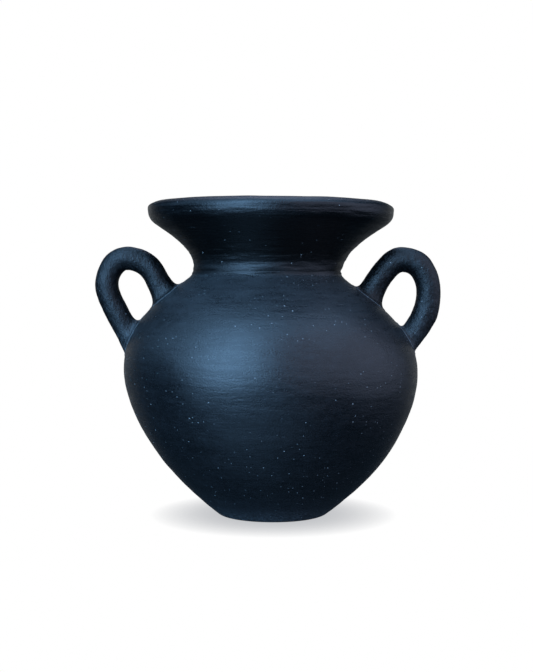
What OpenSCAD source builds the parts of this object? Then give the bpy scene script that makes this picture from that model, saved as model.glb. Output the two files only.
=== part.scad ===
// Barro negro clay pot: a coil-built jar with a flared mouth and two rolled ears.
// Millimetres, +Z up. The origin is the middle of the flat base, +X runs through the ears.
// Every piece is a lump, slab or coil of clay that a potter lutes to its neighbours.

/* [Bowl] */
// Height from the flat base to the top of the lip
total_h = 200; // [197:0.5:206]
// Radius of the flat part of the base
base_r = 32; // [28:0.5:36]
// Rounding of the foot edge
foot_round = 6; // [4:0.5:8]
// Radius at the widest line of the belly
belly_r = 93.5; // [91:0.5:96]
// Height of the widest line of the belly
belly_z = 91.5; // [86:0.5:96]
// Wall thickness of the bowl and the shoulder
wall_t = 7; // [5:0.5:9]
// Thickness of the floor
floor_t = 8; // [6:0.5:11]

/* [Neck and mouth] */
// Outer radius of the neck
neck_r = 47.7; // [45:0.1:50]
// Height of the crease where the shoulder meets the neck
crease_z = 153.7; // [151:0.1:155.5]
// Height where the neck starts to flare
neck_top_z = 160; // [158:0.5:163]
// Outer radius where the flare meets the lip coil
flare_r = 65.3; // [63:0.1:68]
// Height where the flare meets the lip coil
flare_z = 180; // [178:0.5:182]
// Outer radius of the lip
lip_r = 77.3; // [75:0.1:80]
// Height of the widest line of the lip
lip_z = 194.8; // [193:0.1:196]
// Radius of the highest line of the lip
lip_crown_r = 66.5; // [65:0.5:69]

/* [Ears] */
// Thickness of the left ear's clay roll
left_roll_d = 14.6; // [12:0.1:17]
// Thickness of the right ear's clay roll
right_roll_d = 15.4; // [12:0.1:17]
// How far the luting clay at the left ear's upper end spreads up the shoulder
left_spread = 7.5; // [3:0.5:9]
// How far the luting clay at the right ear's upper end spreads up the shoulder
right_spread = 5; // [3:0.5:9]
// How far the luting clay at an ear's lower end spreads into the finger gap
lower_spread = 2.5; // [1:0.5:4]

/* [Hidden] */
$fn = 96;

// Colours of the fired and burnished clay
clay_dark = [0.11, 0.12, 0.14];
clay_mid = [0.14, 0.155, 0.18];
clay_light = [0.17, 0.19, 0.22];

// Slopes of the outline, in degrees above the horizontal
foot_slope = 37;
shoulder_slope = 46.5;
neck_slope = 75;
flare_slope = 34;

// A quarter of a round, drawn as one Bezier curve, has handles of this share of its size
round_share = 0.5523;

// Point at distance d from p, in the direction of angle a
function step(p, a, d) = [p[0] + d * cos(a), p[1] + d * sin(a)];

// Points of the Bezier curve through a and d, with b and c as its handles, in n steps
function bezier(a, b, c, d, n) = [
    for (i = [0:n])
        let (t = i / n, s = 1 - t)
        s * s * s * a + 3 * s * s * t * b + 3 * s * t * t * c + t * t * t * d
];

// The list without its first item, so that joined curves don't repeat a point
function rest(list) = [for (i = [1:len(list) - 1]) list[i]];

// The list in the opposite order
function reversed(list) = [for (i = [len(list) - 1:-1:0]) list[i]];

// Straight steps in the outline of one coil; the bowl and the shoulder are three coils each
coil_steps = 6;

// Outside of the jar, from the base up
foot_out = [base_r + foot_round * sin(foot_slope), foot_round * (1 - cos(foot_slope))];
belly_out = [belly_r, belly_z];
crease_out = [neck_r, crease_z];
neck_out = [neck_r, neck_top_z];
flare_out = [flare_r, flare_z];
lip_out = [lip_r, lip_z];
crown = [lip_crown_r, total_h];

foot_arc = [
    for (i = [0:6])
        let (a = foot_slope * i / 6)
        [base_r + foot_round * sin(a), foot_round * (1 - cos(a))]
];
bowl_out = bezier(foot_out, step(foot_out, foot_slope, 52), belly_out - [0, 21], belly_out, 3 * coil_steps);
shoulder_out = bezier(
    belly_out, belly_out + [0, 36.5], step(crease_out, -shoulder_slope, 14.5), crease_out,
    3 * coil_steps
);
trumpet_out = bezier(
    neck_out, step(neck_out, neck_slope, 7.5), step(flare_out, flare_slope + 180, 10.5), flare_out, 10
);
lip_under = bezier(
    flare_out, step(flare_out, flare_slope, 12), lip_out - [0, 8.4], lip_out, 10
);
lip_over = bezier(
    lip_out, lip_out + [0, (total_h - lip_z) * round_share],
    crown + [(lip_r - lip_crown_r) * round_share, 0], crown, 8
);

// Inside of the jar, from the floor up
foot_in = [base_r - 1.5, floor_t];
belly_in = [belly_r - wall_t, belly_z + 1];
crease_in = [neck_r - wall_t, crease_z - 5.2];
neck_in = [neck_r - wall_t, neck_top_z];
flare_in = step(flare_out, 127, wall_t + 2);
bowl_in = bezier(foot_in, step(foot_in, foot_slope, 47), belly_in - [0, 21], belly_in, 3 * coil_steps);
shoulder_in = bezier(
    belly_in, belly_in + [0, 34], step(crease_in, -shoulder_slope, 13), crease_in, 3 * coil_steps
);
trumpet_in = bezier(neck_in, step(neck_in, 83, 9), step(flare_in, 225, 10), flare_in, 10);
lip_in = bezier(crown, crown - [4.5, 0], step(flare_in, 50, 6), flare_in, 8);

// An ear's centre line in its own plane, as three Bezier curves:
// from its upper root to its apex, on to its widest point, and down to its lower root.
// A root is [x, z], the direction that the line leaves it, and the length of its handle;
// the apex and the widest point are [x, z] and the lengths of the handles on their two sides.
left_ear = [
    [[63, 137], 53, 11.5],
    [[89.7, 163.7], 19, 8],
    [[102.5, 148.3], 7.5, 13],
    [[80.6, 99], 67, 21.5]
];
right_ear = [
    [[62, 137], 60, 22],
    [[86, 163.2], 7.7, 12.8],
    [[102.1, 142.6], 8.4, 23],
    [[83.8, 102.3], 67, 18]
];

// Steps along each of the three curves, and sides of the roll
ear_steps = 12;
roll_sides = 24;

// Steps of an ear that belong to its upper and lower luting clay,
// and how many of them lie inside the wall, where the spread is at its full width
upper_reach = 6;
lower_reach = 8;
upper_buried = 1;
lower_buried = 4;

function ear_line(ear) =
    let (
        top = ear[0], apex = ear[1], wide = ear[2], low = ear[3],
        rise = bezier(
            top[0], step(top[0], top[1], top[2]), apex[0] - [apex[1], 0], apex[0], ear_steps
        ),
        turn = bezier(
            apex[0], apex[0] + [apex[2], 0], wide[0] + [0, wide[1]], wide[0], ear_steps
        ),
        fall = bezier(
            wide[0], wide[0] - [0, wide[2]], step(low[0], low[1], low[2]), low[0], ear_steps
        )
    )
    concat(rise, rest(turn), rest(fall));

// Direction of a line of points at point i
function heading(line, i) =
    let (
        a = line[max(i - 1, 0)],
        b = line[min(i + 1, len(line) - 1)]
    )
    (b - a) / norm(b - a);

// How much of the spread is left i steps from an ear's end: all of it inside the wall, none at the reach
function fade(i, buried, reach) = pow(max(0, 1 - max(0, i - buried) / (reach - buried)), 3);

// The spread at point i of count, from its sizes at the upper and the lower end
function spread(i, count, at_top, at_bottom) =
    at_top * fade(i, upper_buried, upper_reach) + at_bottom * fade(count - i, lower_buried, lower_reach);

// One ring of points round the ear's centre line.
// The luting clay widens it on the outside of the loop, in the finger gap, and sideways.
function ear_ring(line, i, roll_d, upper_spread) =
    let (
        h = heading(line, i),
        count = len(line) - 1,
        outer = roll_d / 2 + spread(i, count, upper_spread, 0),
        inner = roll_d / 2 + spread(i, count, upper_spread / 2, lower_spread),
        side = roll_d / 2 + spread(i, count, upper_spread / 2, lower_spread)
    )
    [
        for (k = [0:roll_sides - 1])
            let (
                a = 360 * k / roll_sides,
                across = (cos(a) > 0 ? outer : inner) * cos(a)
            )
            [line[i][0] - h[1] * across, side * sin(a), line[i][1] + h[0] * across]
    ];

// A closed length of the ear, from ring first to ring last
module ear_length(ear, roll_d, upper_spread, first, last) {
    line = ear_line(ear);
    rings = last - first;
    points = [for (i = [first:last]) each ear_ring(line, i, roll_d, upper_spread)];
    sides = [
        for (i = [0:rings - 1])
            for (k = [0:roll_sides - 1])
                let (
                    a = i * roll_sides + k,
                    b = i * roll_sides + (k + 1) % roll_sides
                )
                each [[a, b, b + roll_sides], [a, b + roll_sides, a + roll_sides]]
    ];
    start = [for (k = [roll_sides - 1:-1:0]) k];
    end = [for (k = [0:roll_sides - 1]) rings * roll_sides + k];
    polyhedron(points = points, faces = concat(sides, [start, end]));
}

// Everything inside the outer surface of the bowl and the shoulder
module bowl_envelope() {
    rotate_extrude()
        polygon(concat([[0, foot_out[1]]], bowl_out, rest(shoulder_out), [[0, crease_z]]));
}

// The plain roll between the two lumps of luting clay
module ear_roll(ear, roll_d, upper_spread) {
    ear_length(ear, roll_d, upper_spread, upper_reach, 3 * ear_steps - lower_reach);
}

// The lump at the upper end, cut to sit on the shoulder
module upper_lute(ear, roll_d, upper_spread) {
    difference() {
        ear_length(ear, roll_d, upper_spread, 0, upper_reach);
        bowl_envelope();
    }
}

// The lump at the lower end, cut to sit on the shoulder
module lower_lute(ear, roll_d, upper_spread) {
    difference() {
        ear_length(ear, roll_d, upper_spread, 3 * ear_steps - lower_reach, 3 * ear_steps);
        bowl_envelope();
    }
}

// Floor disc with the rounded foot edge
module base_slab() {
    color(clay_dark)
        rotate_extrude()
            polygon(concat([[0, 0]], foot_arc, [foot_in, [0, floor_t]]));
}

// One coil of the wall, between the same two points of its outer and inner outline.
// Its slanted joint faces run straight through the wall from one point to the other.
module wall_coil(outer, inner, first, last) {
    rotate_extrude()
        polygon([
            for (i = [first:last]) outer[i],
            for (i = [last:-1:first]) inner[i]
        ]);
}

// Three coils from the foot to the widest line
module lower_bowl_coil() {
    color(clay_dark)
        wall_coil(bowl_out, bowl_in, 0, coil_steps);
}

module middle_bowl_coil() {
    color(clay_mid)
        wall_coil(bowl_out, bowl_in, coil_steps, 2 * coil_steps);
}

module upper_bowl_coil() {
    color(clay_dark)
        wall_coil(bowl_out, bowl_in, 2 * coil_steps, 3 * coil_steps);
}

// Three coils from the widest line to the crease
module lower_shoulder_coil() {
    color(clay_mid)
        wall_coil(shoulder_out, shoulder_in, 0, coil_steps);
}

module middle_shoulder_coil() {
    color(clay_dark)
        wall_coil(shoulder_out, shoulder_in, coil_steps, 2 * coil_steps);
}

module upper_shoulder_coil() {
    color(clay_mid)
        wall_coil(shoulder_out, shoulder_in, 2 * coil_steps, 3 * coil_steps);
}

// Short upright neck coil
module neck_collar() {
    color(clay_light)
        rotate_extrude()
            polygon([crease_out, neck_out, neck_in, crease_in]);
}

// Trumpet-shaped ring above the neck
module rim_flare() {
    color(clay_dark)
        rotate_extrude()
            polygon(concat(trumpet_out, reversed(trumpet_in)));
}

// Rolled coil that ends the mouth
module lip_roll() {
    color(clay_light)
        rotate_extrude()
            polygon(concat(lip_under, rest(lip_over), rest(lip_in)));
}

module left_handle() {
    color(clay_mid)
        mirror([1, 0, 0])
            ear_roll(left_ear, left_roll_d, left_spread);
}

module left_upper_lute() {
    color(clay_light)
        mirror([1, 0, 0])
            upper_lute(left_ear, left_roll_d, left_spread);
}

module left_lower_lute() {
    color(clay_light)
        mirror([1, 0, 0])
            lower_lute(left_ear, left_roll_d, left_spread);
}

module right_handle() {
    color(clay_mid)
        ear_roll(right_ear, right_roll_d, right_spread);
}

module right_upper_lute() {
    color(clay_light)
        upper_lute(right_ear, right_roll_d, right_spread);
}

module right_lower_lute() {
    color(clay_light)
        lower_lute(right_ear, right_roll_d, right_spread);
}

base_slab();
lower_bowl_coil();
middle_bowl_coil();
upper_bowl_coil();
lower_shoulder_coil();
middle_shoulder_coil();
upper_shoulder_coil();
neck_collar();
rim_flare();
lip_roll();
left_handle();
left_upper_lute();
left_lower_lute();
right_handle();
right_upper_lute();
right_lower_lute();
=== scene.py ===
"""A black clay jar with a flared mouth and two rolled ears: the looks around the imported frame.

Everything is in metres in the frame's own axes: +Z up, the origin in the middle of the flat base,
+X through the ears. One smooth skin is worked out for the jar and one for each ear. Each skin is
then cut at the frame's own seams, so that every clay piece is a closed solid in its own object.
"""

import math

import bpy
import numpy as np
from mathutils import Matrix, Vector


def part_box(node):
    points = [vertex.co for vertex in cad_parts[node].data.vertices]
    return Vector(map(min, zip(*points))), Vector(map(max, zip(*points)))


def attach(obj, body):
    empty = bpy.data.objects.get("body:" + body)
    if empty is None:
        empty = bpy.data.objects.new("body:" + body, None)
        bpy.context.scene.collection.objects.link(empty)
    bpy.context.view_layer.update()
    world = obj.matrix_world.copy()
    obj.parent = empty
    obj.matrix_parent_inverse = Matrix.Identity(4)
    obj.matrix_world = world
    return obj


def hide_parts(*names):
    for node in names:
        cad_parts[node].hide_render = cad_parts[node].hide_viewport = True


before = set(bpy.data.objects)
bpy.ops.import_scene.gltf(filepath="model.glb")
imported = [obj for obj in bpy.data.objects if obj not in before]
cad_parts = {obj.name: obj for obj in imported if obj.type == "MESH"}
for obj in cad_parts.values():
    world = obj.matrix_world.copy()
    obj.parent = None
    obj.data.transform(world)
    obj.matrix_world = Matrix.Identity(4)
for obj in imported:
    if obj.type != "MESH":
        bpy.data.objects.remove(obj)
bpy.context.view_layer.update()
MM = 0.001

# ---------------------------------------------------------------------------
# Outline of the jar, the same curves as the frame's
# ---------------------------------------------------------------------------

BASE_R = 32.0 * MM
FOOT_ROUND = 6.0 * MM
WALL = 7.0 * MM
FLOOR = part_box("base_slab")[1].z
TOTAL_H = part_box("lip_roll")[1].z
LIP_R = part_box("lip_roll")[1].x
LIP_Z = 194.8 * MM
CROWN_R = 66.5 * MM
NECK_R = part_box("neck_collar")[1].x
NECK_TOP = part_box("neck_collar")[1].z
CREASE_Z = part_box("upper_shoulder_coil")[1].z
FLARE_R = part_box("rim_flare")[1].x
FLARE_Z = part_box("lip_roll")[0].z
BELLY_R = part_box("upper_bowl_coil")[1].x
BELLY_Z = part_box("upper_bowl_coil")[1].z - 1.0 * MM

# Slopes of the outline in degrees, where one curve meets the next
FOOT_SLOPE, SHOULDER_SLOPE, NECK_SLOPE, FLARE_SLOPE = 37, 46.5, 75, 34
# The share of a radius at which a Bezier curve's handles draw a quarter circle
ROUND_SHARE = 0.5523
# Points in each ring of the jar's skin
AROUND = 480


def point(x, z):
    return np.array([x, z], float)


def step(p, degrees, distance):
    """The point at a distance from p, in the direction of an angle above the horizontal."""
    a = math.radians(degrees)
    return p + distance * point(math.cos(a), math.sin(a))


def bezier(a, b, c, d, t):
    """Points of a Bezier curve at the parameters t."""
    t = np.asarray(t, float)[:, None]
    s = 1 - t
    return s**3 * a + 3 * s * s * t * b + 3 * s * t * t * c + t**3 * d


def even(line, spacing):
    """The same line with its points evenly spaced, its two ends kept."""
    along = np.concatenate([[0], np.cumsum(np.linalg.norm(np.diff(line, axis=0), axis=1))])
    count = max(1, round(along[-1] / spacing))
    at = np.linspace(0, along[-1], count + 1)
    return np.stack([np.interp(at, along, line[:, k]) for k in range(line.shape[1])], axis=1)


foot_out = step(point(BASE_R, FOOT_ROUND), FOOT_SLOPE - 90, FOOT_ROUND)
belly_out = point(BELLY_R, BELLY_Z)
crease_out = point(NECK_R, CREASE_Z)
neck_out = point(NECK_R, NECK_TOP)
flare_out = point(FLARE_R, FLARE_Z)
lip_out = point(LIP_R, LIP_Z)
crown = point(CROWN_R, TOTAL_H)
foot_in = point(BASE_R - 1.5 * MM, FLOOR)
belly_in = point(BELLY_R - WALL, BELLY_Z + 1.0 * MM)
crease_in = point(NECK_R - WALL, CREASE_Z - 5.2 * MM)
neck_in = point(NECK_R - WALL, NECK_TOP)
flare_in = step(flare_out, 127, WALL + 2.0 * MM)

# Each curve of the outline: its start, the ends of its two handles, and its end
BOWL_OUT = (foot_out, step(foot_out, FOOT_SLOPE, 52 * MM), belly_out - point(0, 21 * MM), belly_out)
SHOULDER_OUT = (
    belly_out,
    belly_out + point(0, 36.5 * MM),
    step(crease_out, -SHOULDER_SLOPE, 14.5 * MM),
    crease_out,
)
TRUMPET_OUT = (
    neck_out,
    step(neck_out, NECK_SLOPE, 7.5 * MM),
    step(flare_out, FLARE_SLOPE + 180, 10.5 * MM),
    flare_out,
)
LIP_UNDER = (flare_out, step(flare_out, FLARE_SLOPE, 12 * MM), lip_out - point(0, 8.4 * MM), lip_out)
LIP_OVER = (
    lip_out,
    lip_out + point(0, (TOTAL_H - LIP_Z) * ROUND_SHARE),
    crown + point((LIP_R - CROWN_R) * ROUND_SHARE, 0),
    crown,
)
LIP_IN = (crown, crown - point(4.5 * MM, 0), step(flare_in, 50, 6 * MM), flare_in)
TRUMPET_IN = (flare_in, step(flare_in, 225, 10 * MM), step(neck_in, 83, 9 * MM), neck_in)
SHOULDER_IN = (
    crease_in,
    step(crease_in, -SHOULDER_SLOPE, 13 * MM),
    belly_in + point(0, 34 * MM),
    belly_in,
)
BOWL_IN = (belly_in, belly_in - point(0, 21 * MM), step(foot_in, FOOT_SLOPE, 47 * MM), foot_in)


def thirds(curve, spacing):
    """A Bezier curve as three evenly stepped lines, one for each coil of clay."""
    return [even(bezier(*curve, np.linspace(k / 3, (k + 1) / 3, 80)), spacing) for k in range(3)]


def whole(curve, spacing):
    return even(bezier(*curve, np.linspace(0, 1, 200)), spacing)


def foot_arc():
    a = np.radians(np.linspace(0, FOOT_SLOPE, 9))
    return np.stack([BASE_R + FOOT_ROUND * np.sin(a), FOOT_ROUND * (1 - np.cos(a))], axis=1)


# The skin runs from the middle of the base, up the outside, over the lip and down the inside.
# Each stretch is (name of the seam at its end, its points). First, how far apart its rings are.
OUTSIDE, NECKING, LIP = 1.15 * MM, 0.55 * MM, 0.8 * MM
LIP_INSIDE, THROAT, INSIDE, FLAT = 1.0 * MM, 1.6 * MM, 2.4 * MM, 3 * MM
stretches = [
    ("", even(np.array([[0, 0], [BASE_R, 0]]), FLAT)),
    ("foot_out", foot_arc()),
    *zip(("bowl_1", "bowl_2", "belly_out"), thirds(BOWL_OUT, OUTSIDE)),
    *zip(("shoulder_1", "shoulder_2", "crease_out"), thirds(SHOULDER_OUT, OUTSIDE)),
    ("neck_out", even(np.array([crease_out, neck_out]), NECKING)),
    ("flare_out", whole(TRUMPET_OUT, NECKING)),
    ("lip_out", whole(LIP_UNDER, LIP)),
    ("crown", whole(LIP_OVER, LIP)),
    ("flare_in", whole(LIP_IN, LIP_INSIDE)),
    ("neck_in", whole(TRUMPET_IN, THROAT)),
    ("crease_in", even(np.array([neck_in, crease_in]), INSIDE)),
    *zip(("shoulder_in_2", "shoulder_in_1", "belly_in"), thirds(SHOULDER_IN, INSIDE)),
    *zip(("bowl_in_2", "bowl_in_1", "foot_in"), thirds(BOWL_IN, INSIDE)),
    ("", even(np.array([foot_in, [0, FLOOR]]), FLAT)),
]
outline = [stretches[0][1][0]]
seam = {}
for seam_name, line in stretches:
    outline.extend(line[1:])
    seam[seam_name] = len(outline) - 1
outline = np.array(outline)

# ---------------------------------------------------------------------------
# Noise, and the marks that hands leave
# ---------------------------------------------------------------------------


def lattice(i, j, k, seed):
    """A repeatable random number from -1 to 1 at each whole-number point."""
    h = (
        i.astype(np.uint64) * np.uint64(0x9E3779B1)
        ^ j.astype(np.uint64) * np.uint64(0x85EBCA77)
        ^ k.astype(np.uint64) * np.uint64(0xC2B2AE3D)
        ^ np.uint64(seed * 0x27D4EB2F)
    )
    h = h & np.uint64(0xFFFFFFFF)
    h ^= h >> np.uint64(15)
    h = h * np.uint64(0x2C1B3C6D) & np.uint64(0xFFFFFFFF)
    h ^= h >> np.uint64(12)
    h = h * np.uint64(0x297A2D39) & np.uint64(0xFFFFFFFF)
    h ^= h >> np.uint64(15)
    return h.astype(float) / 0x7FFFFFFF - 1


def noise(p, size, seed):
    """Smooth noise from -1 to 1 at the points p, with lumps of the given size along x, y and z."""
    q = p / np.asarray(size, float) + 1000.0
    whole_part = np.floor(q)
    f = q - whole_part
    f = f * f * f * (f * (f * 6 - 15) + 10)
    i, j, k = (whole_part[..., n].astype(np.int64) for n in range(3))
    total = 0
    for a in (0, 1):
        wa = f[..., 0] if a else 1 - f[..., 0]
        for b in (0, 1):
            wb = f[..., 1] if b else 1 - f[..., 1]
            for c in (0, 1):
                wc = f[..., 2] if c else 1 - f[..., 2]
                total = total + wa * wb * wc * lattice(i + a, j + b, k + c, seed)
    return total


def lumps(p, height, size, seed):
    """Noise of a height on lumps of a size, in millimetres. A size is one number or one per axis."""
    return height * MM * noise(p, np.multiply(size, MM), seed)


def smooth(low, high, x):
    """0 below low, 1 above high, and an even rise between them."""
    t = np.clip((x - low) / (high - low), 0, 1)
    return t * t * (3 - 2 * t)


def bell(x, width):
    """A rounded bump of height 1 at x = 0."""
    return np.exp(-((x / width) ** 2))


# The jar was built up by hand, so its axis wanders: (height, shift along x)
WANDER = np.array(
    [(0, 1.7), (20, 2.4), (42, 2.5), (75, 0.8), (105, -0.3), (125, -1.5), (140, -2.5), (151, -2.9)]
    + [(158, -0.9), (165, -0.3), (173, 0.6), (183, 1.2), (192, 0.7), (200, 0.5)]
) * MM
# The rim isn't quite level. It falls to the right and to the back, fully so above the second height.
RIM_TILT_SIDE = math.radians(0.3)
RIM_TILT_FRONT = math.radians(0.25)
TILTED = (165 * MM, 190 * MM)
# Heights between which these fade in or out: the bowl's fullness, the neck's marks and the lip's marks
FULL_FROM, FULL_TO = (10 * MM, 30 * MM), (100 * MM, 130 * MM)
NECK_MARKS_TO, LIP_MARKS_FROM = (167 * MM, 178 * MM), (186 * MM, 192 * MM)


def wander(z):
    """Shift of the jar's axis along x at a height, rounded between the heights in WANDER."""
    spread = np.array([-6, -3, 0, 3, 6]) * MM
    return sum(np.interp(z + d, WANDER[:, 0], WANDER[:, 1]) for d in spread) / len(spread)


def belly_wave(turn, z):
    """How far the belly's widest line is lifted, at the angles turn round the jar."""
    ahead = np.degrees(np.angle(np.exp(1j * (turn + np.pi / 2))))
    # Each has a height, a place in degrees from the front and a width in degrees
    left_rise = 7 * MM * bell(ahead + 52, 20)
    front_rise = 2 * MM * bell(ahead - 2, 16)
    back_dip = 3 * MM * bell(np.abs(ahead) - 150, 25)
    return (left_rise + front_rise - back_dip) * bell(z - BELLY_Z, 26 * MM)


def below_join(p, z):
    """The shallow hollow under the join of the bowl's top coil, which the stone rides over."""
    reach = 9 * MM
    join = BELLY_Z - reach + lumps(p, 5, (60, 60, 400), 11)
    below = np.maximum(join - z, 0) / reach
    return -0.13 * MM * below * np.exp(1 - below)


def neck_marks(p, z):
    """The grooves round the neck, and the uneven crease under it."""
    on_neck = smooth(CREASE_Z - 3 * MM, CREASE_Z + 1 * MM, z) * (1 - smooth(*NECK_MARKS_TO, z))
    slanting = p + np.stack([0 * z, 0 * z, lumps(p, 0.5, (19, 19, 60), 9)], axis=-1)
    grooves = lumps(slanting, 0.20, (21, 21, 1.7), 5) + lumps(slanting, 0.13, (8, 8, 1.0), 6)
    uneven = 1 + 0.7 * noise(p, (13 * MM, 13 * MM, 30 * MM), 8)
    ridge = 0.32 * MM * bell(z - CREASE_Z, 0.8 * MM)
    hollow = 0.36 * MM * bell(z - CREASE_Z - 1.9 * MM, 0.8 * MM)
    return on_neck * (grooves + (ridge - hollow) * uneven)


def lip_marks(p, z):
    """The lip's fuller underside and edge, and the strokes round it."""
    under = 0.6 * MM * (1 - smooth(LIP_Z, TOTAL_H, z))
    edge = 0.28 * MM * bell(z - LIP_Z - 0.9 * MM, 1.8 * MM)
    broad, narrow = lumps(p, 0.10, (19, 19, 2.4), 7), lumps(p, 0.04, (9, 9, 1.2), 10)
    return smooth(*LIP_MARKS_FROM, z) * (under + broad + edge + narrow)


def hand_marks(p, z):
    """How far the jar's outer face stands proud of the plain outline at the points p."""
    wobble = lumps(p, 0.45, (70, 70, 45), 1)
    patches = lumps(p, 0.16, (17, 17, 9), 2)
    strokes = lumps(p, 0.05, (22, 22, 2.6), 3)
    fine = lumps(p, 0.02, (5, 5, 1.2), 4)
    full = 0.3 * MM * smooth(*FULL_FROM, z) * (1 - smooth(*FULL_TO, z))
    proud = wobble + patches + strokes + fine + full + below_join(p, z)
    return proud + neck_marks(p, z) + lip_marks(p, z)


def line_normals(line):
    """Outward unit normals of an outline that runs with the solid on its left."""
    d = np.gradient(line, axis=0)
    d /= np.maximum(np.linalg.norm(d, axis=1), 1e-12)[:, None]
    return np.stack([d[:, 1], -d[:, 0]], axis=1)


def jar_skin():
    """Points of the jar's whole skin, one ring for each point of the outline."""
    normal = line_normals(outline)
    turn = np.linspace(0, 2 * np.pi, AROUND, endpoint=False)
    c, s = np.cos(turn), np.sin(turn)
    r, z = outline[:, 0][:, None], outline[:, 1][:, None]
    p = np.stack([r * c, r * s, np.broadcast_to(z, (len(outline), AROUND))], axis=2)
    proud = hand_marks(p, p[..., 2])
    # The base and the floor stay flat. The marks fade in beside them, and are weaker inside.
    rows = np.arange(len(outline))
    fade = np.where(rows < seam["neck_in"], 8 * MM, 14 * MM)
    keep = smooth(BASE_R - 2 * MM, BASE_R + fade, outline[:, 0])
    keep = keep * (1 - 0.4 * smooth(seam["crown"], seam["flare_in"], rows))
    proud = proud * keep[:, None]
    r = r + normal[:, 0][:, None] * proud
    z = z + normal[:, 1][:, None] * proud
    x = r * c + wander(outline[:, 1])[:, None]
    y = r * s
    tilt = x * math.tan(RIM_TILT_SIDE) + y * math.tan(RIM_TILT_FRONT)
    z = z - tilt * smooth(*TILTED, outline[:, 1])[:, None]
    z = z + belly_wave(turn, z) * (rows < seam["crown"])[:, None]
    return np.stack([x, y, z], axis=2)


def grid_normals(grid):
    """Unit normals of a grid of rings that close on themselves."""
    along = np.gradient(grid, axis=0)
    around = np.roll(grid, -1, axis=1) - np.roll(grid, 1, axis=1)
    n = np.cross(around, along)
    size = np.linalg.norm(n, axis=2)
    flat = size < 1e-12
    n[flat] = (0, 0, 1)
    size[flat] = 1
    return n / size[..., None]


# ---------------------------------------------------------------------------
# Building closed pieces out of a skin
# ---------------------------------------------------------------------------


def make_object(name, points, faces, normals, flat_faces, attributes):
    """A mesh object. Faces from flat_faces on are joint faces, which keep their own flat normals."""
    mesh = bpy.data.meshes.new(name)
    mesh.from_pydata(points.tolist(), [], faces)
    mesh.update()
    mesh.shade_smooth()
    for key, values in attributes.items():
        a = mesh.attributes.new(key, "FLOAT", "POINT")
        a.data.foreach_set("value", values.astype(np.float32))
    loops = np.zeros(len(mesh.loops), np.int64)
    mesh.loops.foreach_get("vertex_index", loops)
    loop_normals = normals[loops]
    for i in range(flat_faces, len(mesh.polygons)):
        polygon = mesh.polygons[i]
        first = polygon.loop_start
        loop_normals[first : first + polygon.loop_total] = polygon.normal
    mesh.normals_split_custom_set(loop_normals.tolist())
    obj = bpy.data.objects.new(name, mesh)
    bpy.context.scene.collection.objects.link(obj)
    return obj


def strip(lower, upper, around):
    """Faces between two rings of vertices, given each ring's first vertex."""
    return [
        (lower + k, lower + (k + 1) % around, upper + (k + 1) % around, upper + k)
        for k in range(around)
    ]


def ring_piece(name, skin, normals, spans):
    """A ring of clay: one or two spans of the skin's rings, closed by joint faces between them."""
    rows = [row for first, last in spans for row in range(first, last + 1)]
    points = skin[rows].reshape(-1, 3)
    used_normals = normals[rows].reshape(-1, 3)
    faces, at = [], 0
    ends = []
    for first, last in spans:
        for k in range(last - first):
            faces += strip((at + k) * AROUND, (at + k + 1) * AROUND, AROUND)
        ends.append((at, at + last - first))
        at += last - first + 1
    smooth_count = len(faces)
    for n, (_, last) in enumerate(ends):
        following = ends[(n + 1) % len(ends)][0]
        faces += strip(last * AROUND, following * AROUND, AROUND)
    return make_object(name, points, faces, used_normals, smooth_count, {})


def base_piece(name, skin, normals):
    """The floor slab: two discs that share one slanted joint."""
    spans = [(1, seam["foot_out"]), (seam["foot_in"], len(outline) - 2)]
    rows = [row for first, last in spans for row in range(first, last + 1)]
    points = skin[rows].reshape(-1, 3)
    used_normals = normals[rows].reshape(-1, 3)
    low_pole, high_pole = len(points), len(points) + 1
    points = np.vstack([points, skin[0].mean(0), skin[-1].mean(0)])
    used_normals = np.vstack([used_normals, (0, 0, -1), (0, 0, 1)])
    faces = [(low_pole, (k + 1) % AROUND, k) for k in range(AROUND)]
    count = seam["foot_out"] - 1
    for k in range(count):
        faces += strip(k * AROUND, (k + 1) * AROUND, AROUND)
    first = count + 1
    last = len(rows) - 1
    for k in range(first, last):
        faces += strip(k * AROUND, (k + 1) * AROUND, AROUND)
    faces += [(high_pole, last * AROUND + k, last * AROUND + (k + 1) % AROUND) for k in range(AROUND)]
    smooth_count = len(faces)
    faces += strip(count * AROUND, first * AROUND, AROUND)
    return make_object(name, points, faces, used_normals, smooth_count, {})


# ---------------------------------------------------------------------------
# Ears
# ---------------------------------------------------------------------------

# Points in each ring of an ear's skin, how far apart the rings are, and how far the edge of the
# luting clay stands proud of the wall
EAR_AROUND = 96
EAR_STEP = 0.6 * MM
EAR_FLOW = 0.45 * MM

# Centre lines as in the frame, apart from a few tenths of a millimetre at the left ear's apex and widest
# point: upper root, apex, widest point and lower root. A root is its place, the direction the line
# leaves it and its handle; the others are a place and two handles.
EARS = {
    "left": {
        "sign": -1,
        "shift": -2.0 * MM,
        "roll": 15.1 * MM,
        "line": (
            ((63, 137), 53, 11.5),
            ((89.7, 163.7), 19, 7),
            ((102.3, 148.3), 7, 13),
            ((80.6, 99), 67, 21.5),
        ),
        # How far the luting clay reaches along the roll and along the wall, in mm:
        # on the outside of the loop, in the finger gap, and at the sides
        "upper": ((11, 5.5), (10, 5), (9, 5)),
        "lower": ((3, 1.2), (10, 9), (6, 3.5)),
        "seed": 20,
    },
    "right": {
        "sign": 1,
        "shift": -0.8 * MM,
        "roll": 15.8 * MM,
        "line": (
            ((62, 137), 60, 22),
            ((86, 163.2), 7.7, 12.8),
            ((102.1, 142.6), 8.4, 23),
            ((83.8, 102.3), 67, 18),
        ),
        "upper": ((8, 4.5), (16, 5.5), (9, 4.5)),
        "lower": ((3, 1.2), (4, 5), (5, 2.5)),
        "seed": 40,
    },
}

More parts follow.
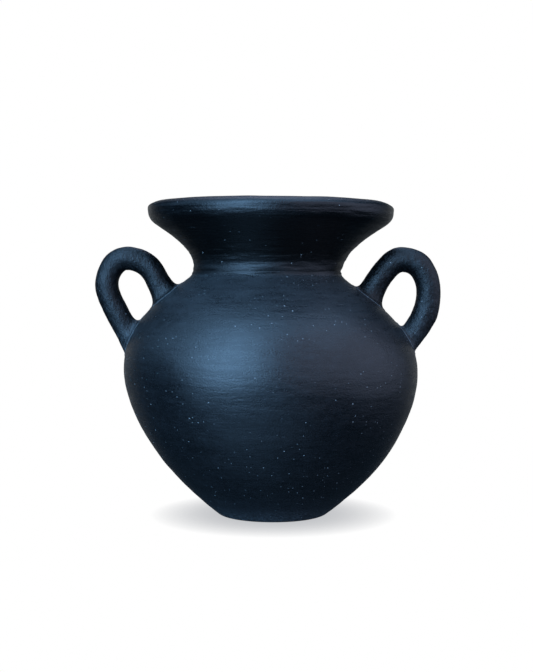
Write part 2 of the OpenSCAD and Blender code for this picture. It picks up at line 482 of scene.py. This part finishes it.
outer_rows = outline[seam["foot_out"] : seam["crease_out"] + 1]
outer_normals = line_normals(outline)[seam["foot_out"] : seam["crease_out"] + 1]


def wall_gap(p):
    """Distance from the points p to the jar's outer face, measured level, positive outside."""
    z = p[..., 2]
    r = np.interp(z, outer_rows[:, 1], outer_rows[:, 0])
    lean = np.interp(z, outer_rows[:, 1], outer_normals[:, 0])
    x = p[..., 0] - wander(z)
    out = np.hypot(x, p[..., 1])
    plain = np.stack([x / out * r, p[..., 1] / out * r, z], axis=-1)
    return out - r - hand_marks(plain, z) / np.maximum(lean, 0.2)


def onto_wall(p, proud):
    """The points p moved level onto the jar's outer face, standing proud of it by a distance."""
    gap = wall_gap(p) - proud
    x = p[..., 0] - wander(p[..., 2])
    out = np.hypot(x, p[..., 1])
    q = p.copy()
    q[..., 0] -= x / out * gap
    q[..., 1] -= p[..., 1] / out * gap
    return q


def wall_normal(p):
    """Outward unit normals of the jar's outer face beside the points p."""
    z = p[..., 2]
    nr = np.interp(z, outer_rows[:, 1], outer_normals[:, 0])
    nz = np.interp(z, outer_rows[:, 1], outer_normals[:, 1])
    x = p[..., 0] - wander(z)
    out = np.hypot(x, p[..., 1])
    n = np.stack([x / out * nr, p[..., 1] / out * nr, nz], axis=-1)
    return n / np.linalg.norm(n, axis=-1)[..., None]


def unit(v):
    return v / np.maximum(np.linalg.norm(v, axis=-1), 1e-12)[..., None]


def ear_line(ear):
    """The ear's centre line in its own plane, evenly stepped, and its directions."""
    upper_root, (apex, before, after), (wide, above, below), lower_root = ear["line"]
    (top, top_way, top_reach), (low, low_way, low_reach) = upper_root, lower_root
    top, apex, wide, low = (point(*p) for p in (top, apex, wide, low))
    t = np.linspace(0, 1, 60)
    rise = bezier(top, step(top, top_way, top_reach), apex - point(before, 0), apex, t)
    turn = bezier(apex, apex + point(after, 0), wide + point(0, above), wide, t)
    fall = bezier(wide, wide - point(0, below), step(low, low_way, low_reach), low, t)
    line = even(np.vstack([rise, turn[1:], fall[1:]]) * MM, EAR_STEP)
    return line, unit(np.gradient(line, axis=0))


def roll_skin(ear):
    """Rings of the plain roll, all along the centre line, inside the wall too."""
    line, way = ear_line(ear)
    a = np.linspace(0, 2 * np.pi, EAR_AROUND, endpoint=False)
    c, s = np.cos(a)[None, :], np.sin(a)[None, :]
    r = ear["roll"] / 2
    across_x, across_z = -way[:, 1][:, None], way[:, 0][:, None]
    x = line[:, 0][:, None] + across_x * c * r
    z = line[:, 1][:, None] + across_z * c * r
    y = np.broadcast_to(-ear["sign"] * s * r, x.shape)
    return np.stack([ear["sign"] * x + ear["shift"], y, z], axis=2), a


def by_side(sizes, a, k):
    """A luting size round the roll: its three values on the outside, in the gap and at the sides."""
    c = np.cos(a)
    outside, gap, side = (s[k] * MM for s in sizes)
    return outside * np.maximum(c, 0) ** 2 + gap * np.maximum(-c, 0) ** 2 + side * np.sin(a) ** 2


def luting(roll, a, sizes, seed):
    """Rings from the plain roll to the edge of the luting clay on the wall.

    The roll's rings come in order from the middle of the ear to its root. Every lengthwise line
    leaves the roll before the wall, bends through a fillet and runs out along the wall.
    Returns the ring index where the luting starts, and its rings."""
    gap = wall_gap(roll)
    hit = np.argmax(gap < 0, axis=0)
    k = np.arange(EAR_AROUND)
    before, behind = gap[hit - 1, k], gap[hit, k]
    at = hit - 1 + before / (before - behind)
    uneven = 1 + 0.16 * noise(np.stack([3 * np.cos(a), 3 * np.sin(a), 0 * a], axis=1), 1.0, seed)
    along_roll = by_side(sizes, a, 0) * uneven
    along_wall = by_side(sizes, a, 1) * uneven
    leave = at - along_roll / EAR_STEP
    start = int(math.floor(leave.min())) - 2

    def on_roll(position):
        low = np.clip(np.floor(position).astype(int), 0, len(roll) - 2)
        f = (position - low)[:, None]
        return roll[low, k] * (1 - f) + roll[low + 1, k] * f

    corner = on_roll(at)
    middle = roll.mean(axis=1)
    outward = unit(corner - middle[np.clip(np.round(at).astype(int), 0, len(roll) - 1)])
    n = wall_normal(corner)
    outward = unit(outward - (outward * n).sum(-1)[:, None] * n)
    edge = onto_wall(corner + outward * along_wall[:, None], EAR_FLOW)
    bend_start = on_roll(leave)
    t = np.linspace(0, 1, 24)
    lines = []
    for i in k:
        straight = np.array([roll[j, i] for j in range(start, int(math.ceil(leave[i])))])
        mid_edge = corner[i] + 0.25 * (edge[i] - corner[i])
        mid_roll = corner[i] + 0.35 * (bend_start[i] - corner[i])
        bend = bezier(bend_start[i], mid_roll, mid_edge, edge[i], t)
        lines.append(np.vstack([straight, bend]))
    longest = max(np.linalg.norm(np.diff(line, axis=0), axis=1).sum() for line in lines)
    rings = max(8, round(longest / EAR_STEP))
    resampled = []
    for line in lines:
        along = np.concatenate([[0], np.cumsum(np.linalg.norm(np.diff(line, axis=0), axis=1))])
        at_ring = np.linspace(0, along[-1], rings + 1)
        resampled.append(np.stack([np.interp(at_ring, along, line[:, d]) for d in range(3)], axis=1))
    rows = np.stack(resampled, axis=1)
    foot = edge + outward * 0.25 * MM
    dive = np.stack([onto_wall(foot, -0.5 * MM), onto_wall(foot + outward * 0.1 * MM, -1.4 * MM)])
    return start, np.concatenate([rows, dive])


def ear_skin(ear):
    """The ear's whole skin from one edge on the wall to the other, and where its pieces meet."""
    roll, a = roll_skin(ear)
    middle = len(roll) // 2
    up_start, up = luting(roll[middle::-1], a, ear["upper"], ear["seed"])
    low_start, low = luting(roll[middle:], a, ear["lower"], ear["seed"] + 1)
    first, last = middle - up_start, middle + low_start
    skin = np.concatenate([up[::-1], roll[first + 1 : last], low])
    upper_seam = len(up) - 1
    lower_seam = upper_seam + last - first
    n = grid_normals(skin)
    rows = np.arange(len(skin))
    fade = smooth(2, 9, rows) * smooth(2, 9, len(skin) - 1 - rows)
    seed = ear["seed"]
    coarse = lumps(skin, 0.34, 13, seed + 2) + lumps(skin, 0.14, 5, seed + 3)
    fine = lumps(skin, 0.05, 2.2, seed + 4) + lumps(skin, 0.03, 1.2, seed + 5)
    skin = skin + n * ((coarse + fine) * fade[:, None])[..., None]
    # Dust lies on the rings at both edges, and thinly on those above the lower edge
    edge_rows = np.minimum(rows, len(skin) - 1 - rows)
    dust = 1 - smooth(2, 5, edge_rows)
    dust = np.maximum(dust, 0.22 * (1 - smooth(8, 44, len(skin) - 1 - rows)))
    return skin, grid_normals(skin), upper_seam, lower_seam, dust


def tube_piece(name, skin, normals, dust, first, last):
    """A length of an ear's skin, closed at both ends."""
    count = last - first
    points = skin[first : last + 1].reshape(-1, 3)
    used = normals[first : last + 1].reshape(-1, 3)
    worn = np.repeat(dust[first : last + 1], EAR_AROUND)
    poles = (len(points), len(points) + 1)
    points = np.vstack([points, skin[first].mean(0), skin[last].mean(0)])
    used = np.vstack([used, (0, 0, 1), (0, 0, 1)])
    worn = np.append(worn, (0, 0))
    faces = []
    for k in range(count):
        faces += strip(k * EAR_AROUND, (k + 1) * EAR_AROUND, EAR_AROUND)
    smooth_count = len(faces)
    top = count * EAR_AROUND
    for k in range(EAR_AROUND):
        after = (k + 1) % EAR_AROUND
        faces.append((poles[0], after, k))
        faces.append((poles[1], top + k, top + after))
    return make_object(name, points, faces, used, smooth_count, {"dust": worn})


# ---------------------------------------------------------------------------
# Materials
# ---------------------------------------------------------------------------


class Nodes:
    """Short ways to add and link the nodes of one tree."""

    def __init__(self, tree):
        self.tree = tree

    def add(self, kind, **settings):
        node = self.tree.nodes.new(kind)
        for key, value in settings.items():
            setattr(node, key, value)
        return node

    def set(self, socket, value):
        """Gives a socket a number, a colour or another node's output."""
        if isinstance(value, bpy.types.NodeSocket):
            self.tree.links.new(value, socket)
        elif isinstance(value, tuple) and len(socket.default_value) == 4:
            socket.default_value = (*value, 1)
        else:
            socket.default_value = value

    def math(self, operation, a, b=0.0):
        node = self.add("ShaderNodeMath", operation=operation)
        self.set(node.inputs[0], a)
        self.set(node.inputs[1], b)
        return node.outputs["Value"]

    def plus(self, *values):
        total = values[0]
        for value in values[1:]:
            total = self.math("ADD", total, value)
        return total

    def times(self, *values):
        total = values[0]
        for value in values[1:]:
            total = self.math("MULTIPLY", total, value)
        return total

    def rescale(self, value, low, high, to_low=0.0, to_high=1.0, kind="LINEAR"):
        node = self.add("ShaderNodeMapRange", clamp=True, interpolation_type=kind)
        for key, number in zip(("From Min", "From Max", "To Min", "To Max"), (low, high, to_low, to_high)):
            node.inputs[key].default_value = number
        self.set(node.inputs["Value"], value)
        return node.outputs["Result"]

    def mix(self, factor, a, b, blend="MIX"):
        node = self.add("ShaderNodeMix", data_type="RGBA", blend_type=blend)
        self.set(node.inputs[0], factor)
        self.set(node.inputs[6], a)
        self.set(node.inputs[7], b)
        return node.outputs[2]


class Clay(Nodes):
    """The nodes of one clay material. Sizes are in metres."""

    def __init__(self, name):
        self.material = bpy.data.materials.new(name)
        self.material.use_nodes = True
        super().__init__(self.material.node_tree)
        self.shader = self.tree.nodes["Principled BSDF"]
        self.place = self.add("ShaderNodeTexCoord").outputs["Object"]
        apart = self.add("ShaderNodeSeparateXYZ")
        self.set(apart.inputs[0], self.place)
        x, y = apart.outputs["X"], apart.outputs["Y"]
        self.radius = self.math("SQRT", self.plus(self.times(x, x), self.times(y, y)))
        self.height = apart.outputs["Z"]

    def stretched(self, size):
        """Object coordinates divided by a size along x, y and z."""
        node = self.add("ShaderNodeMapping", vector_type="POINT")
        node.inputs["Scale"].default_value = [1 / s for s in size]
        self.set(node.inputs["Vector"], self.place)
        return node.outputs["Vector"]

    def noise(self, size, detail=2.0, roughness=0.5):
        """Cloudy noise round 0.5."""
        node = self.add("ShaderNodeTexNoise", noise_dimensions="3D")
        node.inputs["Scale"].default_value = 1.0
        node.inputs["Detail"].default_value = detail
        node.inputs["Roughness"].default_value = roughness
        self.set(node.inputs["Vector"], self.stretched(size))
        return node.outputs["Fac"]

    def strokes(self, length, width, detail=2.0, roughness=0.5):
        """Noise drawn out round the jar, as a burnishing stone leaves it on a wall of any slope."""
        node = self.add("ShaderNodeTexNoise", noise_dimensions="4D")
        node.inputs["Scale"].default_value = 1.0
        node.inputs["Detail"].default_value = detail
        node.inputs["Roughness"].default_value = roughness
        self.set(node.inputs["Vector"], self.stretched((length, length, width)))
        self.set(node.inputs["W"], self.times(self.radius, 1 / width))
        return node.outputs["Fac"]

    def flecks(self, spacing, share, radius):
        """Small round marks: 1 inside a mark, 0 elsewhere, in a share of the cells."""
        cells = self.add("ShaderNodeTexVoronoi", feature="F1")
        cells.inputs["Scale"].default_value = 1.0
        self.set(cells.inputs["Vector"], self.stretched((spacing, spacing, spacing)))
        near = self.rescale(cells.outputs["Distance"], 0.6 * radius / spacing, radius / spacing, 1, 0)
        tone = self.add("ShaderNodeSeparateColor")
        self.set(tone.inputs["Color"], cells.outputs["Color"])
        return self.times(near, self.math("LESS_THAN", tone.outputs["Red"], share))

    def bump(self, height, depth, below=None):
        """Bump of a depth in metres for a height that runs from 0 to 1."""
        node = self.add("ShaderNodeBump")
        node.inputs["Strength"].default_value = 1.0
        node.inputs["Distance"].default_value = depth
        self.set(node.inputs["Height"], height)
        if below is not None:
            self.set(node.inputs["Normal"], below)
        return node.outputs["Normal"]


# Colours of the burnished clay, of the clay on the ears, and of what lies on both
BURNISHED_DARK, BURNISHED_LIGHT = (0.0042, 0.0050, 0.0062), (0.0080, 0.0085, 0.0095)
MOTTLED = (0.013, 0.0145, 0.017)
STROKED = (0.018, 0.019, 0.021)
GRAINY = (0.022, 0.024, 0.027)
# Black mixed in to darken the neck and lip clay by a share, and almost fully under the flare as painted
# shade
TONE_AND_PAINTED_SHADE_BLACK = (0, 0, 0)
EAR_DARK, EAR_LIGHT = (0.0008, 0.0010, 0.0013), (0.0036, 0.0042, 0.0050)
EAR_GRAINY = (0.022, 0.025, 0.029)
SPECK = (0.42, 0.43, 0.44)
SCUFF = (0.040, 0.044, 0.050)
DUST = (0.14, 0.15, 0.16)
SETTLED = (0.036, 0.040, 0.043)


def burnished(name, roughness, shine, stroke_length, stroke_depth, fleck_share, darkening):
    """Smoke-blackened clay, rubbed with a stone: strokes round the jar, grain, scuffs, pale flecks.

    The darkening share makes the clay darker everywhere but under the flare, where it is painted almost
    black as painted shade. The lip is the smoothest, and a film of dust has settled on the slope just
    below the neck."""
    n = Clay(name)
    clouds = n.noise((0.05, 0.05, 0.04), detail=3)
    mottle = n.noise((0.006, 0.006, 0.005), detail=4, roughness=0.65)
    broad = n.strokes(0.018, 0.0032, detail=2)
    narrow = n.strokes(stroke_length, 0.0011, detail=3, roughness=0.6)
    grain = n.noise((0.0011, 0.0011, 0.0009), detail=3, roughness=0.7)
    worn_foot = n.rescale(n.plus(n.height, n.rescale(mottle, 0.3, 0.7, -0.006, 0.006)), 0.004, 0.022, 1, 0)

    colour = n.mix(n.rescale(clouds, 0.35, 0.68), BURNISHED_DARK, BURNISHED_LIGHT)
    colour = n.mix(n.rescale(mottle, 0.45, 0.72, 0, 0.55), colour, MOTTLED)
    colour = n.mix(n.rescale(narrow, 0.55, 0.75, 0, 0.35), colour, STROKED)
    colour = n.mix(n.rescale(grain, 0.5, 0.72, 0, 0.45), colour, GRAINY)
    above_neck = n.rescale(n.height, NECK_TOP, NECK_TOP + 7 * MM, kind="SMOOTHSTEP")
    on_lip = n.rescale(n.height, LIP_Z - 11 * MM, LIP_Z - 1 * MM, kind="SMOOTHSTEP")
    under_flare = n.math("SUBTRACT", above_neck, on_lip)
    # Painted shade: the clay under the flare is mixed almost fully to black; elsewhere it is darkened by
    # the given share
    colour = n.mix(n.rescale(under_flare, 0, 1, darkening, 0.98), colour, TONE_AND_PAINTED_SHADE_BLACK)
    colour = n.mix(n.times(worn_foot, 0.35), colour, SCUFF)
    foot_dust = n.times(n.rescale(n.height, 1 * MM, 10 * MM, 0.8, 0), n.rescale(grain, 0.46, 0.60))
    colour = n.mix(n.times(foot_dust, n.rescale(mottle, 0.35, 0.6, 0.25, 1)), colour, DUST)
    scuffs = n.times(n.rescale(n.strokes(0.0045, 0.0016), 0.70, 0.78), n.rescale(clouds, 0.45, 0.6))
    colour = n.mix(n.times(scuffs, 0.8), colour, SCUFF)
    crowd = n.rescale(n.noise((0.045, 0.045, 0.030), detail=1), 0.40, 0.60, 0.25, 1)
    flecks = n.flecks(0.0060, fleck_share, 0.00045)
    faint = n.times(n.flecks(0.0031, 1.5 * fleck_share, 0.00034), 0.8)
    flecks = n.times(n.math("MAXIMUM", flecks, faint), n.rescale(crowd, 0.3, 0.5))
    under_neck = n.rescale(n.height, CREASE_Z - 26 * MM, CREASE_Z - 6 * MM, kind="SMOOTHSTEP")
    film = n.times(under_neck, n.rescale(grain, 0.35, 0.65, 0.4, 1), n.rescale(broad, 0.35, 0.65, 0.6, 1))
    film = n.times(film, n.rescale(n.height, CREASE_Z - 1 * MM, CREASE_Z + 1 * MM, 1, 0))
    colour = n.mix(film, colour, SETTLED)
    colour = n.mix(n.times(flecks, 0.85), colour, SPECK)
    n.set(n.shader.inputs["Base Color"], colour)

    rough = n.plus(
        roughness,
        n.rescale(clouds, 0.3, 0.7, -0.03, 0.04),
        n.rescale(broad, 0.3, 0.7, -0.05, 0.05),
        n.rescale(narrow, 0.3, 0.7, -0.06, 0.06),
        n.rescale(grain, 0.3, 0.7, -0.05, 0.05),
        n.times(worn_foot, 0.12),
        n.times(n.math("MAXIMUM", flecks, scuffs), 0.25),
        n.times(under_flare, -0.03),
        n.times(on_lip, -0.20),
    )
    n.set(n.shader.inputs["Roughness"], rough)
    n.shader.inputs["Specular IOR Level"].default_value = shine
    bumped = n.bump(broad, stroke_depth)
    bumped = n.bump(narrow, 0.45 * stroke_depth, bumped)
    bumped = n.bump(mottle, 0.00012, bumped)
    bumped = n.bump(grain, 0.00020, bumped)
    n.set(n.shader.inputs["Normal"], bumped)
    return n.material


def hand_smoothed(name):
    """The same clay on the ears, wiped with wet fingers: matt, granular, patchy, dusty at its edges."""
    n = Clay(name)
    patches = n.noise((0.007, 0.007, 0.011), detail=4, roughness=0.6)
    grains = n.noise((0.0014, 0.0014, 0.0021), detail=3, roughness=0.75)
    fine = n.noise((0.0008, 0.0008, 0.0008), detail=1)

    colour = n.mix(n.rescale(patches, 0.38, 0.66), EAR_DARK, EAR_LIGHT)
    colour = n.mix(n.rescale(grains, 0.52, 0.74, 0, 0.9), colour, EAR_GRAINY)
    flecks = n.flecks(0.0040, 0.14, 0.0004)
    colour = n.mix(n.times(flecks, 0.7), colour, SPECK)
    edge = n.add("ShaderNodeAttribute", attribute_name="dust", attribute_type="GEOMETRY").outputs["Fac"]
    dust = n.times(edge, n.rescale(grains, 0.35, 0.6, 0.15, 1), 0.9)
    colour = n.mix(dust, colour, DUST)
    n.set(n.shader.inputs["Base Color"], colour)

    rough = n.plus(
        0.36,
        n.rescale(patches, 0.35, 0.65, 0.09, -0.09),
        n.rescale(grains, 0.3, 0.7, -0.08, 0.1),
        n.times(dust, 0.3),
    )
    n.set(n.shader.inputs["Roughness"], rough)
    n.shader.inputs["Specular IOR Level"].default_value = 0.36
    bumped = n.bump(patches, 0.0008)
    bumped = n.bump(grains, 0.0005, bumped)
    bumped = n.bump(fine, 0.00014, bumped)
    n.set(n.shader.inputs["Normal"], bumped)
    return n.material


BODY = burnished(
    "burnished_clay",
    roughness=0.31,
    shine=0.5,
    stroke_length=0.007,
    stroke_depth=0.00022,
    fleck_share=0.42,
    darkening=0.0,
)
NECK = burnished(
    "neck_clay",
    roughness=0.39,
    shine=0.41,
    stroke_length=0.024,
    stroke_depth=0.00060,
    fleck_share=0.16,
    # Neck and lip clay half as dark all over, with the painted shade under the flare almost black
    darkening=0.5,
)
EAR = hand_smoothed("ear_clay")


# ---------------------------------------------------------------------------
# The pieces
# ---------------------------------------------------------------------------


def finish_piece(obj, node, material):
    """Gives a piece its clay and lets it stand for its node of the frame."""
    obj.data.materials.append(material)
    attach(obj, "root")
    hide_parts(node)


# Each course of clay: its node, and the seams at its outer and its inner ends
BODY_COURSES = (
    ("lower_bowl_coil", "foot_out", "bowl_1", "bowl_in_1", "foot_in"),
    ("middle_bowl_coil", "bowl_1", "bowl_2", "bowl_in_2", "bowl_in_1"),
    ("upper_bowl_coil", "bowl_2", "belly_out", "belly_in", "bowl_in_2"),
    ("lower_shoulder_coil", "belly_out", "shoulder_1", "shoulder_in_1", "belly_in"),
    ("middle_shoulder_coil", "shoulder_1", "shoulder_2", "shoulder_in_2", "shoulder_in_1"),
    ("upper_shoulder_coil", "shoulder_2", "crease_out", "crease_in", "shoulder_in_2"),
)
NECK_COURSES = (
    ("neck_collar", "crease_out", "neck_out", "neck_in", "crease_in"),
    ("rim_flare", "neck_out", "flare_out", "flare_in", "neck_in"),
)


def build_courses(skin, normals, courses, material):
    for node, outer_from, outer_to, inner_from, inner_to in courses:
        spans = [(seam[outer_from], seam[outer_to]), (seam[inner_from], seam[inner_to])]
        finish_piece(ring_piece("clay_" + node, skin, normals, spans), node, material)


def build_jar():
    skin = jar_skin()
    foot = skin[: seam["foot_out"] + 1]
    foot[..., 2] = np.maximum(foot[..., 2], 0)
    normals = grid_normals(skin)
    finish_piece(base_piece("clay_base_slab", skin, normals), "base_slab", BODY)
    build_courses(skin, normals, BODY_COURSES, BODY)
    build_courses(skin, normals, NECK_COURSES, NECK)
    lip = ring_piece("clay_lip_roll", skin, normals, [(seam["flare_out"], seam["flare_in"])])
    finish_piece(lip, "lip_roll", NECK)


def build_ear(side):
    skin, normals, upper_seam, lower_seam, dust = ear_skin(EARS[side])
    lengths = (
        ("upper_lute", 0, upper_seam),
        ("handle", upper_seam, lower_seam),
        ("lower_lute", lower_seam, len(skin) - 1),
    )
    for part, first, last in lengths:
        node = f"{side}_{part}"
        piece = tube_piece("clay_" + node, skin, normals, dust, first, last)
        finish_piece(piece, node, EAR)


# ---------------------------------------------------------------------------
# Stage, light and camera
# ---------------------------------------------------------------------------

# Soft light from all round: the colour and the strength of each window, its azimuths and its
# elevations. The four azimuths and the four elevations, in degrees, are where the light starts, is
# full, starts to fade and ends. Azimuth 0 is the side that the camera looks from, and 90 is the side
# of the right ear. A window behind the jar has two lines, because azimuths end at 180.
# ALL_ROUND is wider than the full circle, so that it doesn't fade anywhere.
ALL_ROUND = (-400, -399, 399, 400)
SKY_BLUE, PALE_BLUE, WHITE = (0.3, 0.6, 1.0), (0.6, 0.7, 1.0), (1.0, 1.0, 0.95)
STUDIO = (
    # A trace of light everywhere, and the open sky overhead
    (SKY_BLUE, 0.05, ALL_ROUND, (-100, -99, 99, 100)),
    (SKY_BLUE, 2.0, ALL_ROUND, (35, 85, 99, 100)),
    # The large window at the front left, which makes the long highlight
    (SKY_BLUE, 8.5, (-70, -40, -30, 10), (-35, 10, 35, 95)),
    # Weaker fill from the right, from the left edge and from low down in front
    (PALE_BLUE, 1.2, (-15, 30, 95, 135), (-30, 10, 55, 85)),
    (SKY_BLUE, 1.2, (-140, -85, -70, -40), (-10, 35, 60, 85)),
    (SKY_BLUE, 0.7, (-90, -40, -30, 30), (-95, -50, -40, -5)),
    # Weak light from behind the jar, low down and higher up
    (WHITE, 0.2, (125, 155, 200, 235), (-25, -5, 5, 20)),
    (WHITE, 0.2, (-235, -200, -155, -125), (-25, -5, 5, 20)),
    (PALE_BLUE, 1.0, (155, 175, 185, 205), (20, 35, 55, 75)),
    (PALE_BLUE, 1.0, (-205, -185, -175, -155), (20, 35, 55, 75)),
)


def build_world():
    """A white background for the camera, and the studio's soft light for everything else."""
    world = bpy.data.worlds.new("studio")
    bpy.context.scene.world = world
    world.use_nodes = True
    n = Nodes(world.node_tree)
    n.tree.nodes.clear()
    apart = n.add("ShaderNodeSeparateXYZ")
    n.set(apart.inputs[0], n.add("ShaderNodeTexCoord").outputs["Generated"])
    x, y, z = (apart.outputs[k] for k in "XYZ")
    azimuth = n.math("DEGREES", n.math("ARCTAN2", x, n.times(y, -1)))
    elevation = n.math("DEGREES", n.math("ARCSINE", z))
    total = (0, 0, 0)
    for colour, strength, azimuths, elevations in STUDIO:
        share = 1.0
        for angle, (start, full, fade, end) in ((azimuth, azimuths), (elevation, elevations)):
            share = n.times(n.rescale(angle, start, full, 0, 1, "SMOOTHSTEP"), share)
            share = n.times(n.rescale(angle, fade, end, 1, 0, "SMOOTHSTEP"), share)
        node = n.add("ShaderNodeMix", data_type="RGBA", blend_type="ADD", clamp_factor=False)
        n.set(node.inputs[0], share)
        n.set(node.inputs[6], total)
        n.set(node.inputs[7], tuple(strength * part for part in colour))
        total = node.outputs[2]
    lit, seen = n.add("ShaderNodeBackground"), n.add("ShaderNodeBackground")
    n.set(lit.inputs["Color"], total)
    n.set(seen.inputs["Color"], (1, 1, 1))
    mix = n.add("ShaderNodeMixShader")
    n.set(mix.inputs["Fac"], n.add("ShaderNodeLightPath").outputs["Is Camera Ray"])
    n.tree.links.new(lit.outputs[0], mix.inputs[1])
    n.tree.links.new(seen.outputs[0], mix.inputs[2])
    n.tree.links.new(mix.outputs[0], n.add("ShaderNodeOutputWorld").inputs["Surface"])


def build_floor():
    """A pale floor, evenly bright, with a painted soft shadow where the jar stands.

    It lies a hair below the base, so that the two flat faces don't share a plane, and it can be seen
    through from below, so that the base can be looked at."""
    half, level, shade_reach = 40.0, -0.2 * MM, 0.03
    corners = [(-half, -half, level), (half, -half, level), (half, half, level), (-half, half, level)]
    mesh = bpy.data.meshes.new("floor")
    mesh.from_pydata(corners, [], [(0, 1, 2, 3)])
    floor = bpy.data.objects.new("floor", mesh)
    bpy.context.scene.collection.objects.link(floor)
    material = bpy.data.materials.new("pale_floor")
    material.use_nodes = True
    n = Nodes(material.node_tree)
    n.tree.nodes.clear()
    # Painted shadow: the floor's own glow is dimmed near the jar, by how much of the open space around it
    # the jar hides
    shade = n.add("ShaderNodeAmbientOcclusion", samples=8)
    shade.inputs["Distance"].default_value = shade_reach
    light = n.add("ShaderNodeEmission")
    open_share = n.rescale(shade.outputs["AO"], 0.2, 1.0)
    n.set(light.inputs["Color"], n.mix(open_share, (0.55, 0.56, 0.58), (1, 1, 1)))
    from_below = n.add("ShaderNodeMixShader")
    n.set(from_below.inputs["Fac"], n.add("ShaderNodeNewGeometry").outputs["Backfacing"])
    n.tree.links.new(light.outputs[0], from_below.inputs[1])
    n.tree.links.new(n.add("ShaderNodeBsdfTransparent").outputs[0], from_below.inputs[2])
    n.tree.links.new(from_below.outputs[0], n.add("ShaderNodeOutputMaterial").inputs["Surface"])
    mesh.materials.append(material)
    # It is a backdrop for the camera only: the jar's underside stays as dark as its dim room makes it
    floor.visible_glossy = False
    floor.visible_diffuse = False


# The camera's lens and sensor in mm, its place, and how many degrees it looks down
LENS, SENSOR = 70.26, 36
CAMERA_PLACE = (-0.0022, -0.840, 0.1558)
LOOK_DOWN = 2.83


def build_camera():
    data = bpy.data.cameras.new("camera")
    data.lens = LENS
    data.sensor_width = SENSOR
    data.clip_start, data.clip_end = 0.05, 100
    camera = bpy.data.objects.new("camera", data)
    camera.location = CAMERA_PLACE
    camera.rotation_euler = (math.radians(90 - LOOK_DOWN), 0, 0)
    bpy.context.scene.collection.objects.link(camera)
    bpy.context.scene.camera = camera


build_camera()
build_jar()
build_ear("left")
build_ear("right")
build_floor()
build_world()
bpy.context.scene.view_settings.view_transform = "Standard"
